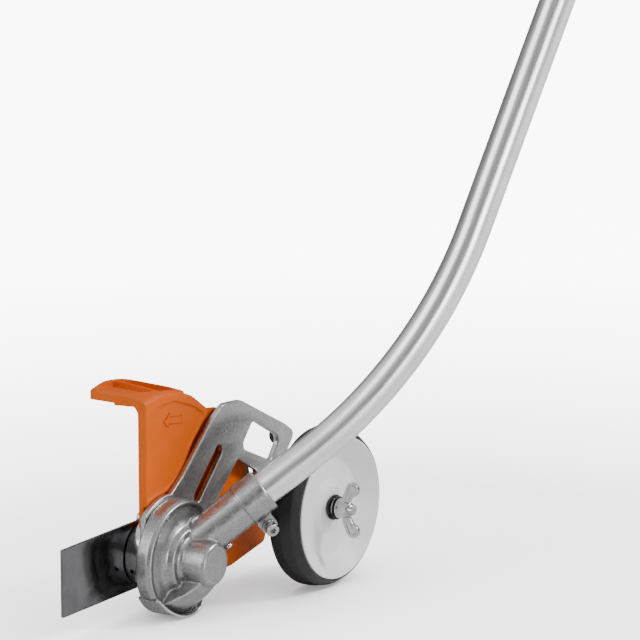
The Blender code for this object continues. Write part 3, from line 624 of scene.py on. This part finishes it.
def build_bracket(paints):
    """Plate, crank and slotted arm in one casting, with its buffer and screws."""
    window = rounded([(113, 78.5, 5), (145, 60, 5), (147, 55, 5), (137, 42, 4),
                      (101, 58.5, 5), (100, 64, 4)], 8)
    triangle = rounded([(92, 53, 3), (55, 19.5, 4), (110, 27, 3), (119, 37.5, 3)], 8)
    holes = [circle(26.5, steps=96), window, slot_outline((39, 37), (67, 64.5), 10), triangle]
    holes += [circle(SCREW_HOLE, polar(SCREW_CIRCLE, angle), 24)
              for angle in (*GUARD_SCREWS.values(), *BRACKET_SCREWS.values())]
    bracket = plate("bracket_plate", [bracket_outline(), *holes], BRACKET_BACK,
                    BRACKET_FRONT, SPINDLE, 0.9)
    y, low, high = WHEEL.y, WHEEL.z - AXLE_TRAVEL, WHEEL.z
    crank = plate("crank", [rounded([(y - 12, 22, 1), (y + 12, 22, 1), (y + 12, 35, 3),
                                     (y - 12, 35, 3)])],
                  BRACKET_BACK + 1, ARM_FRONT - 1, SPINDLE, 0.8)
    arm = plate("axle_arm", [slot_outline((y, low), (y, high + 8), 24, 24),
                             slot_outline((y, low), (y, high), 9.0, 16)],
                ARM_BACK, ARM_FRONT, SPINDLE, 0.8)
    merge(bracket, [crank, arm], "UNION", "EXACT")
    head_room = prism("head_room", [(y - 9.5, low - 12), (y + 9.5, low - 12),
                                    (y + 9.5, high + 9.5), (y - 9.5, high + 9.5)],
                      ARM_BACK - 8, ARM_BACK, SPINDLE)
    slot = prism("axle_slot", slot_outline((y, low), (y, high), 9.0, 16),
                 ARM_BACK - 2, ARM_FRONT + 2, SPINDLE)
    merge(bracket, [head_room, slot], solver="EXACT")
    mark = lathe("ejector_mark", [(1.9, 22.5), (2.8, 22.5), (2.8, BRACKET_FRONT + 0.2),
                                  (1.9, BRACKET_FRONT + 0.2)], axes((0, 76.6, 80.0)), 32)
    merge(bracket, [mark], "UNION", "EXACT")
    place_piece(bracket, "wheel_bracket", paints["bracket"])

    buffer = lathe("buffer_button", rounded([(0, 13.5), (5, 13.5, 0.8), (6.5, 15.2, 0.6),
                                             (6.5, 18.7, 0.4), (0, 18.7)]),
                   axes((0, *BUFFER_PLACE)), 48)
    place_piece(buffer, "bracket_buffer", paints["rubber"])
    for node, angle in BRACKET_SCREWS.items():
        star_screw(node, spindle_parallel(angle), 32.5, BRACKET_BACK, 2.5, 4.4, 3.2,
                   paints["zinc"])


# ------------------------------------------------------------ blade guard
def sector(name, profile, start, end, steps):
    """A (radius, w) profile swept through part of a turn about the spindle."""
    return skin(name, [[(*polar(radius, start + (end - start) * i / steps), w)
                        for radius, w in profile] for i in range(steps + 1)], SPINDLE)


def guard_outline():
    """Side panel: front edge, round top, rear edge beside the wheel, spindle notch."""
    top = arc(GUARD_RADIUS, 99.4, 80, 20)
    rear = rounded([top[-1], (40, 112.5, 30), (60, 97.5, 5), (80, 94.5, 8), (113, 47, 60),
                    (132, -4, 40), (147, -22, 6), (92, -32, 30), (44, -24, 10), (36, -18)], 8)
    return [(-20, 24)] + top + rear[1:] + arc(30.5, -12, 124, 40)


def raised_outline():
    """The thicker front of the panel, as far as the bead beside the bracket."""
    top = arc(GUARD_RADIUS, 99.4, 80, 20)
    rear = rounded([top[-1], (40, 112.5, 30), (61.7, 97.1, 1), (40, 77, 40),
                    (20.4, 52.2, 20), (8, 47, 8), (0, 45.5)], 8)
    return [(-20, 31)] + top + rear[1:] + arc(45.5, 90, 116, 14)[1:]


def rough_cover():
    """The roof over the blade, with a fillet below its corner, cut to its plan."""
    inner = COVER_RADIUS - COVER_WALL
    cover = sector("cover", [(COVER_RADIUS, -38), (COVER_RADIUS - 1, -2),
                             (GUARD_RADIUS - 0.2, GUARD_FRONT - 3),
                             (GUARD_RADIUS - 5, GUARD_FRONT - 3), (inner - 1.6, -9.4),
                             (inner, -9.8), (inner, -38)], 102, 60, 42)
    fillet = [(GUARD_RADIUS - 3, 3), (GUARD_RADIUS - 3, 12), (110, 12)]
    fillet += [(110 + u, 3 + w) for u, w in arc(8, 90, 0, 10)][:-1]
    merge(cover, [sector("under_cover", fillet, 102, 60, 42)], "UNION", "EXACT")
    plan = rounded([(-32, -20, 3), (-36, 6, 14), (-35, 42, 14), (-12, 44, 20), (17, 33),
                    (17, -20)], 10)
    return merge(cover, [prism("cover_plan", plan, 90, 130, ROOT)], "INTERSECT", "EXACT")


def cut_pockets(panel):
    """A ramp that deepens towards the rear and, behind the rib, a well."""
    ramp = prism("ramp", [(-18, 122.8), (16, 118.2), (16, 140), (-18, 140)], -40, 20, SPINDLE)
    well = sector("well", [(119.2, -40), (132, -40), (132, 20), (119.2, 20)], 50, 104, 54)
    for floor, corners in (
            (ramp, [(-29.5, -18, 0.5), (-32.5, 13, 3), (8, 4.5, 2), (-4, -18, 0.5)]),
            (well, [(-32.5, 16, 2), (-31, 30, 8), (-8, 39, 6), (13, 24, 3), (11, 6.5, 2)])):
        merge(floor, [prism("pocket_plan", rounded(corners, 8), 80, 140, ROOT)],
              "INTERSECT", "EXACT")
        merge(panel, [floor], solver="EXACT")


def cut_face(panel):
    """Round the panel's top edge, sink its face inside a border and nick the cover."""
    rounding = [(126, 10.5), (126, 21), (GUARD_RADIUS - 5.5, 21)]
    rounding += [(GUARD_RADIUS - 5.2 + u, GUARD_FRONT - 4.9 + w) for u, w in arc(5, 90, 0, 10)]
    recess = rounded([(-18.3, 44.4), (-18.3, 106, 3), (-2, 112.8, 12), (17, 113.5, 20),
                      (42, 104, 20), (57.5, 95.0, 3), (38, 77, 40), (18.6, 54, 20),
                      (7, 49.3, 8), (0, 48), (-9.2, 47.1)], 8)
    nick = [(-10.2, -21), (-9.2, -21), (-9.2, -17.5), (-10.2, -17.5)]
    merge(panel, [sector("face_rounding", rounding, 104, 52, 52),
                  prism("recess", recess, GUARD_FRONT - 1.2, 22, SPINDLE),
                  prism("edge_nick", nick, 116, 140, ROOT)], solver="EXACT")


def add_arrow(guard):
    """A plain raised arrow, the way the blade turns, in a groove of its shape."""
    surround = [(3.3, 99.5), (12.8, 106.0), (12.2, 102.4), (28.4, 100.2), (28.4, 93.1),
                (11.4, 96.5), (10.4, 93.4)]
    arrow = [(4.8, 99.5), (12, 104.5), (11.3, 101.6), (27.5, 99.5), (27.5, 94.1),
             (10.6, 97.6), (9.9, 95.0)]
    merge(guard, [prism("arrow_groove", surround, 16.5, 18, SPINDLE)])
    merge(guard, [prism("arrow", arrow, 15.5, 17.5, SPINDLE)], "UNION")


def build_guard(paints):
    """Panel, thicker front and cover in one moulding, with its screws."""
    panel = prism("guard_panel", guard_outline(), GUARD_BACK, GUARD_STRIP, SPINDLE)
    raised = prism("guard_front", raised_outline(), GUARD_BACK + 0.5, GUARD_FRONT, SPINDLE)
    merge(panel, [raised, rough_cover()], "UNION", "EXACT")
    cut_pockets(panel)
    cut_face(panel)
    guard = melt(panel, 0.6, 3, 0.4)
    add_arrow(guard)
    holes = [(SCREW_HOLE, SCREW_CIRCLE, angle) for angle in GUARD_SCREWS.values()]
    holes += [(RIVET_HOLE, RIVET_CIRCLE, angle) for angle in SKIRT_RIVETS.values()]
    merge(guard, [lathe("guard_hole", [(0, 10), (radius, 10), (radius, 20), (0, 20)],
                        spindle_parallel(angle, ring), 24) for radius, ring, angle in holes])
    place_piece(guard, "blade_guard", paints["guard"])
    for node, angle in GUARD_SCREWS.items():
        star_screw(node, spindle_parallel(angle), 32.5, GUARD_BACK, 2.5, 4.0, 3.0,
                   paints["zinc"])


def build_skirt(paints):
    """A rubber strip behind the guard, held by two rivets."""
    holes = [circle(RIVET_HOLE, polar(RIVET_CIRCLE, angle), 24)
             for angle in SKIRT_RIVETS.values()]
    strip = arc(131, 33, 2, 24) + arc(110, 2, 35.5, 24)
    skirt = plate("skirt_sheet", [strip, *holes], GUARD_BACK - 3.3, GUARD_BACK - 0.3,
                  SPINDLE, 0.4)
    place_piece(skirt, "rubber_skirt", paints["rubber"])
    for node, angle in SKIRT_RIVETS.items():
        star_screw(node, spindle_parallel(angle, RIVET_CIRCLE), GUARD_FRONT, GUARD_BACK - 3.3,
                   2.0, 4.0, 1.4, paints["zinc"])


# ------------------------------------------------------------ blade and its holders
def hexagon_nut(name, low, high, place):
    """A nut of 13 mm across its flats, its corners turned down at both ends."""
    nut = prism(name, circle(7.5, steps=6), low, high, place)
    turned = lathe("nut_turning", [(0, low), (6.6, low), (7.55, low + 0.6),
                                   (7.55, high - 0.6), (6.6, high), (0, high)], place, 64)
    hole = lathe("nut_hole", [(0, low - 1), (4.4, low - 1), (4.4, high + 1), (0, high + 1)],
                 place, 32)
    merge(nut, [turned], "INTERSECT", "EXACT")
    return merge(nut, [hole], solver="EXACT")


def build_blade(paints):
    """A flat bar with square ends and a hole for its carrier."""
    reach, side, half = BLADE_LENGTH / 2, BLADE_WIDTH / 2, BLADE_THICKNESS / 2
    outline = rounded([(-reach, -side, 0.6), (reach, -side, 0.6), (reach, side, 0.6),
                       (-reach, side, 0.6)], 4)
    blade = plate("blade_bar", [outline, circle(12.9, steps=64)], -half, half, SPINDLE, 0.2)
    place_piece(blade, "edger_blade", paints["blade"], "spindle")


def build_blade_holders(paints):
    """Carrier and thrust plate with their pin holes, washer, nut and the shaft."""
    half, edge = BLADE_THICKNESS / 2, COLLAR_RADIUS
    carrier = rounded([(4.4, -0.9), (12.6, -0.9, 0.2), (12.6, half + 0.3),
                       (edge, half + 0.3, 0.7), (edge, 12.6, 0.7), (6.3, 12.6), (6.3, 0.9),
                       (4.4, 0.9)], 4)
    thrust = rounded([(6.3, 12.9), (edge, 12.9, 0.7), (edge, 16.1, 0.1), (edge - 0.25, 16.3),
                      (edge - 0.25, 19.6), (edge, 19.8, 0.1), (edge, 23.3, 0.7),
                      (18.3, 23.3), (18.3, 18.6), (6.3, 18.6)], 4)
    for node, profile, w in (("blade_carrier", carrier, 7.2), ("thrust_plate", thrust, 18.0)):
        ring = lathe(node + "_ring", profile, SPINDLE, 128)
        pins = [lathe("pin_hole", [(0, 16), (1.9, 16), (1.9, 27), (0, 27)],
                      axes((w, 0, 0), (0, *polar(1, 200 + turn)), (1, 0, 0)), 24)
                for turn in (0, 120, 240)]
        place_piece(merge(ring, pins, solver="EXACT"), node, paints["turned"], "spindle")
    washer = lathe("dished_washer", rounded([(4.4, -4.6), (13.5, -4.6, 0.8), (16.5, -3.4, 0.6),
                                             (16.5, -half - 0.3, 0.3), (4.4, -half - 0.3)]),
                   SPINDLE, 64)
    place_piece(washer, "clamp_washer", paints["zinc"], "spindle")
    place_piece(hexagon_nut("hexagon_nut", -11.4, -4.9, SPINDLE), "blade_nut",
                paints["zinc"], "spindle")
    shaft = lathe("spindle_shaft", rounded([(0, -12.5), (3.4, -12.5, 0.2), (4, -11.8, 0.2),
                                            (4, 1.2), (6, 1.2), (6, 53.5), (4, 53.5),
                                            (4, 60.8), (0, 60.8)]), SPINDLE, 48)
    place_piece(shaft, "output_shaft", paints["turned"], "spindle")


# ------------------------------------------------------------ wheel
def build_wheel(paints):
    """A dished disc, hollow behind its rim, and the solid tyre round it."""
    disc = rounded([(7.4, 62, 0.1), (12, 62, 0.5), (12, 80, 2), (34, 80, 4),
                    (49.4, 88.8, 1.5), (49.4, 68.6, 0.4), (52.0, 68.6, 0.4), (52.0, 91.5, 0.2),
                    (53.4, 91.7, 0.2), (53.4, 94, 0.5), (52.2, 94.2, 0.5), (50.6, 93, 1.2),
                    (36.5, 82.8, 5), (21, 82.4, 3), (15.5, 85.8, 2.5), (11.5, 86.2, 0.6),
                    (7.4, 86.2, 0.1)])
    place_piece(lathe("wheel_dish", disc, HUB, 160, 40.0), "wheel_disc", paints["wheel"],
                "wheel")
    tyre = rounded([(52.35, 91.2, 0.2), (53.8, 91.3, 0.2), (53.8, 93.2, 0.3), (55, 93.3, 0.8),
                    (58.8, 87.5, 3), (60.5, 79, 4), (60.5, 72.5, 3), (58.3, 68.2, 2),
                    (52.35, 66.7, 0.6)])
    place_piece(lathe("tyre_ring", tyre, HUB, 192, 40.0), "wheel_tyre", paints["tyre"],
                "wheel")


def build_axle(paints):
    """The axle bolt with its thread, and the rings that it carries."""
    pitch, thread = 1.25, []
    for turn in range(10):
        thread += [(4.0, 92.8 + pitch * turn), (3.45, 93.4 + pitch * turn)]
    bolt = lathe("bolt", rounded([(0, 39), (6.5, 39, 1), (8.5, 41, 1),
                                  (8.5, ARM_BACK - 0.3, 0.2), (4, ARM_BACK - 0.3)])
                 + thread + [(3.9, 105.3), (3.3, 106), (0, 106)], HUB, 48)
    place_piece(bolt, "axle_bolt", paints["zinc"], "axle")
    rings = {"axle_sleeve": (4.4, 6.0, ARM_FRONT + 0.3, 87.4, "zinc"),
             "axle_washer_inner": (4.4, 9.6, 87.7, 89.1, "black"),
             "axle_washer_outer": (4.4, 8.8, 91.2, 92.2, "black")}
    for node, (inner, outer, low, high, paint) in rings.items():
        ring = lathe(node + "_ring", rounded([(inner, low, 0.1), (outer, low, 0.25),
                                              (outer, high, 0.25), (inner, high, 0.1)]),
                     HUB, 64)
        place_piece(ring, node, paints[paint], "axle")
    spring = lathe("split_ring", rounded([(4.5, 89.4, 0.1), (7.6, 89.4, 0.2), (7.6, 90.9, 0.2),
                                          (4.5, 90.9, 0.1)]), HUB, 64)
    slit = prism("spring_slit", [(3, -0.5), (9, -0.1), (9, 0.7), (3, 0.3)], 88.5, 91.1, HUB)
    place_piece(merge(spring, [slit], solver="EXACT"), "axle_spring_washer",
                paints["turned"], "axle")


def build_wing_nut(paints):
    """A hub with two dished wings."""
    nut = lathe("nut_hub", rounded([(2.5, 92.5), (7.6, 92.5, 0.3), (7.6, 93.6, 0.3),
                                    (6.6, 95, 1), (5.9, 101.6, 1), (5.2, 103, 0.6),
                                    (2.5, 103)]), HUB, 64)
    for side in (1, -1):
        place = axes((0, WHEEL.y, WHEEL.z), (0, side, 0), (1, 0, 0))
        lobe = rounded([(94.6, 4.4), (101.4, 4.4), (105.5, 10.5, 6), (111, 13, 5),
                        (109.5, 22, 6), (101, 21, 6), (97, 12, 8)], 8)
        dish = rounded([(98.6, 7.5, 1), (101.2, 7.5, 1), (104.6, 12.4, 5), (108.6, 14.6, 2.5),
                        (107.6, 19.4, 3.5), (102.4, 18.6, 3), (99.4, 11.4, 6)], 8)
        wing = prism("wing", lobe, -1.25, 1.25, place)
        merge(wing, [prism("wing_face", dish, 0.75, 2, place),
                     prism("wing_back", dish, -2, -0.75, place)])
        merge(nut, [wing], "UNION")
    nut = melt(nut, 0.28, 3, 0.6)
    bore = lathe("nut_bore", [(0, 91), (4.2, 91), (4.2, 105), (0, 105)], HUB, 48)
    place_piece(merge(nut, [bore]), "wing_nut", paints["zinc"], "wing_nut")


# ------------------------------------------------------------ tube
def build_tube(paints):
    """Straight out of the socket, a long bend, then straight to the coupling's end."""
    sweep = INPUT.angle(TUBE_TOP_HEADING)
    normal = INPUT.cross(TUBE_TOP_HEADING).normalized()
    inward = normal.cross(INPUT)
    bend_start = APEX + INPUT * TUBE_STRAIGHT
    chord = TUBE_TOP - bend_start
    forward, sideways = chord.dot(INPUT), chord.dot(inward)
    # The bend's radius and the upper straight both follow from where the tube ends.
    tall = forward * math.sin(sweep) - sideways * math.cos(sweep)
    radius = tall / (1.0 - math.cos(sweep))
    stations = [(APEX + INPUT * (TUBE_START + i * 12.0), INPUT) for i in range(7)]
    for i in range(49):
        turn = sweep * i / 48
        place = bend_start + radius * (INPUT * math.sin(turn) + inward * (1 - math.cos(turn)))
        stations.append((place, INPUT * math.cos(turn) + inward * math.sin(turn)))
    last = stations[-1][0]
    stations += [(last.lerp(TUBE_TOP, i / 12), TUBE_TOP_HEADING) for i in range(1, 13)]

    def loop(place, heading, ring, shift=0.0):
        side = normal.cross(heading)
        return [place + heading * shift
                + ring * (normal * math.cos(math.tau * i / 64)
                          + side * math.sin(math.tau * i / 64)) for i in range(64)]

    outside = [loop(place, heading, TUBE_RADIUS) for place, heading in stations[1:-1]]
    foot, top = stations[0], stations[-1]
    bore = [loop(place, heading, TUBE_BORE) for place, heading in reversed(stations[1:-1])]
    sections = ([loop(*foot, TUBE_RADIUS - 0.4), loop(*foot, TUBE_RADIUS, 0.4)] + outside
                + [loop(*top, TUBE_RADIUS, -0.4), loop(*top, TUBE_RADIUS - 0.4),
                   loop(*top, TUBE_BORE + 0.3), loop(*top, TUBE_BORE, -0.3)] + bore
                + [loop(*foot, TUBE_BORE)])
    tube = skin("bent_tube", sections, ROOT, closed=True)
    latch = axes(TUBE_TOP - TUBE_TOP_HEADING * 45.0, inward, (1, 0, 0))
    merge(tube, [lathe("latch_hole", [(0, 5), (4, 5), (4, 20), (0, 20)], latch, 32)],
          solver="EXACT")
    place_piece(tube, "drive_tube", paints["tube"])


# ------------------------------------------------------------ inside pieces
def finish_cad_nodes(paints):
    """Nodes kept from the frame take the finish of their slot."""
    finishes = {"turned_steel": "turned", "bearing_steel": "bearing", "black_rubber": "rubber",
                "white_nylon": "nylon", "zinc_plate": "zinc", "cast_aluminium": "bracket",
                "blackened_steel": "black"}
    for part in frame["record"]["subparts"]:
        node = frame["nodes"][part["node"]]
        if not node.hide_render:
            node.data.materials.clear()
            node.data.materials.append(paints[finishes[part["material_slot"]]])


# ------------------------------------------------------------ studio
def build_floor():
    """A pale floor that only the camera sees glow; ambient occlusion dims the glow into
    painted contact shadows, and the lower glow near the object is painted shade.
    """
    paint = Paint("studio_floor")
    paint.shader.inputs["Roughness"].default_value = 0.55
    paint.shader.inputs["Base Color"].default_value = (0.85, 0.85, 0.85, 1.0)
    seen = paint.nodes.new("ShaderNodeLightPath").outputs["Is Camera Ray"]
    contact = paint.nodes.new("ShaderNodeAmbientOcclusion")
    contact.samples = 8
    contact.inputs["Distance"].default_value = 0.12
    away = paint.nodes.new("ShaderNodeVectorMath")
    away.operation = "LENGTH"
    place = paint.nodes.new("ShaderNodeTexCoord")
    paint.links.new(place.outputs["Object"], away.inputs[0])
    # Painted contact shadows: the glow darkens where ambient occlusion is low.
    shade = paint.spread(contact.outputs["AO"], 0.12, 1.0, 0.15, 0.95)
    # Painted shade: less glow near the object, which also lets the lamps' shadows show.
    level = paint.spread(away.outputs["Value"], 2.4, 9.0, 0.30, 1.1)
    glow = paint.multiply(paint.multiply(seen, shade), level)
    paint.shader.inputs["Emission Color"].default_value = (1.0, 1.0, 1.0, 1.0)
    paint.links.new(glow, paint.shader.inputs["Emission Strength"])

    sheet = bmesh.new()
    bmesh.ops.create_grid(sheet, x_segments=1, y_segments=1, size=20.0)
    mesh = bpy.data.meshes.new("studio_floor")
    sheet.to_mesh(mesh)
    sheet.free()
    mesh.materials.append(paint.material)
    floor = bpy.data.objects.new("studio_floor", mesh)
    bpy.context.scene.collection.objects.link(floor)
    return floor


def build_lamps():
    """A key light from behind, a soft strip in front and a low fill at the right."""
    lamps = []
    for name, place, size, power in (
            ("key", (2.0, 1.5, 2.3), (0.7, 0.7), 105.0),
            ("strip", (-1.3, -2.7, 1.4), (1.9, 2.4), 46.0),
            ("fill", (2.6, -1.4, 0.5), (1.2, 0.8), 26.0)):
        light = bpy.data.lights.new(name, "AREA")
        light.shape = "RECTANGLE"
        light.size, light.size_y = size
        light.energy = power
        lamp = bpy.data.objects.new(name, light)
        lamp.location = place
        aim = Vector((0, 0, 0.12)) - Vector(place)
        lamp.rotation_euler = aim.to_track_quat("-Z", "Y").to_euler()
        bpy.context.scene.collection.objects.link(lamp)
        lamps.append(lamp)
    return lamps


def build_sky():
    """Grey below the horizon and bright above it, and brighter still in reflections."""
    world = bpy.data.worlds.new("studio_sky")
    bpy.context.scene.world = world
    world.use_nodes = True
    nodes, links = world.node_tree.nodes, world.node_tree.links
    background = nodes["Background"]
    place = nodes.new("ShaderNodeTexCoord")
    split = nodes.new("ShaderNodeSeparateXYZ")
    bands = nodes.new("ShaderNodeValToRGB")
    stops = bands.color_ramp.elements
    stops[0].position, stops[0].color = 0.0, (0.20, 0.20, 0.20, 1)
    stops[1].position, stops[1].color = 1.0, (1.0, 1.0, 1.0, 1)
    for position, level in ((0.20, 0.16), (0.45, 0.40), (0.54, 0.80)):
        stop = stops.new(position)
        stop.color = (level, level, level, 1)
    links.new(place.outputs["Generated"], split.inputs[0])
    links.new(split.outputs["Z"], bands.inputs["Fac"])
    links.new(bands.outputs["Color"], background.inputs["Color"])
    strength = nodes.new("ShaderNodeMapRange")
    strength.inputs["To Min"].default_value = 0.42
    strength.inputs["To Max"].default_value = 1.0
    mirrored = nodes.new("ShaderNodeLightPath").outputs["Is Glossy Ray"]
    links.new(mirrored, strength.inputs["Value"])
    links.new(strength.outputs["Result"], background.inputs["Strength"])


def build_camera():
    """A long lens, low and from the right of the blade's front."""
    azimuth, elevation, roll = (math.radians(a) for a in (33.02, 13.43, -0.185))
    target, distance = Vector((-0.0323, -0.0232, 0.2079)), 3.927
    back = Vector((math.sin(azimuth) * math.cos(elevation),
                   -math.cos(azimuth) * math.cos(elevation), math.sin(elevation)))
    right = Vector((0, 0, 1)).cross(back).normalized()
    up = back.cross(right)
    turn = Matrix((right, up, back)).transposed() @ Matrix.Rotation(roll, 3, "Z")
    lens = bpy.data.cameras.new("camera")
    lens.lens, lens.sensor_width = 300.0, 36.0
    lens.clip_start, lens.clip_end = 0.1, 60.0
    camera = bpy.data.objects.new("camera", lens)
    camera.matrix_world = Matrix.Translation(target + back * distance) @ turn.to_4x4()
    bpy.context.scene.collection.objects.link(camera)
    bpy.context.scene.camera = camera


def main():
    paints = make_paints()
    build_housing(paints)
    build_skid(paints)
    star_screw("clamp_screw", CLAMP, -10.5, 11.0, 3.0, 5.0, 5.4, paints["zinc"], 1.2)
    star_screw("bearing_retaining_screw", RETAINER, 11.2, SOCKET_RADIUS, 2.0, 3.4, 2.4,
               paints["zinc"])
    build_bracket(paints)
    build_guard(paints)
    build_skirt(paints)
    build_blade(paints)
    build_blade_holders(paints)
    build_wheel(paints)
    build_axle(paints)
    build_wing_nut(paints)
    build_tube(paints)
    finish_cad_nodes(paints)
    build_floor()
    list(build_lamps())
    build_sky()
    build_camera()
    bpy.context.view_layer.update()


main()
